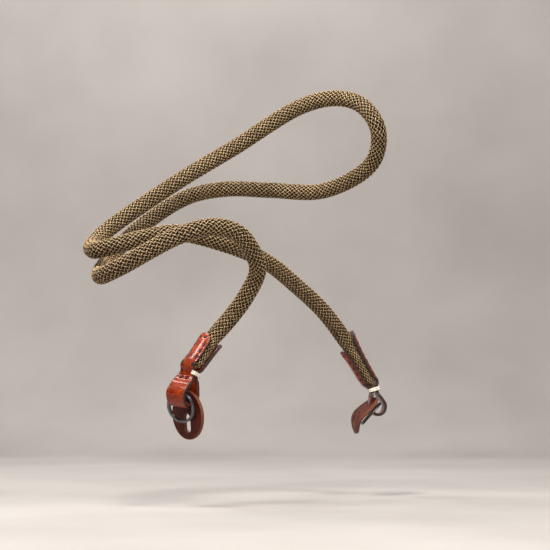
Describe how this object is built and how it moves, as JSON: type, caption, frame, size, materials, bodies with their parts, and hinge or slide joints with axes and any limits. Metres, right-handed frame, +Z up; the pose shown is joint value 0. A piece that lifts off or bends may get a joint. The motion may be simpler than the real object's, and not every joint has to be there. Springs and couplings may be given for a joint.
{
  "type": "coiled rope camera strap",
  "caption": "Braided rope shoulder strap lying in loose coils, each end folded into a leather tab with a thread binding, a split ring and a round leather bumper.",
  "frame": {"origin": "midway between the two hanging points, where the lugs' eyes go through the split rings", "axes": "+X from the left hanging point to the right one, +Y to the back, +Z up"},
  "size_m": [0.2174, 0.1355, 0.2231],
  "materials": {
    "rope": "braided, tan strands over dark brown ones",
    "tab_leather": "glossy cognac, dark burnished edges",
    "bumper_leather": "satin dark red-brown",
    "thread": "waxed off-white thread",
    "ring_metal": "black plated, satin"
  },
  "bodies": {
    "root": {"rope": "rope", "left_end_tab": "tab_leather", "right_end_tab": "tab_leather", "left_binding": "thread", "right_binding": "thread", "left_split_ring": "ring_metal", "right_split_ring": "ring_metal", "left_bumper": "bumper_leather", "right_bumper": "bumper_leather"}
  },
  "joints": []
}
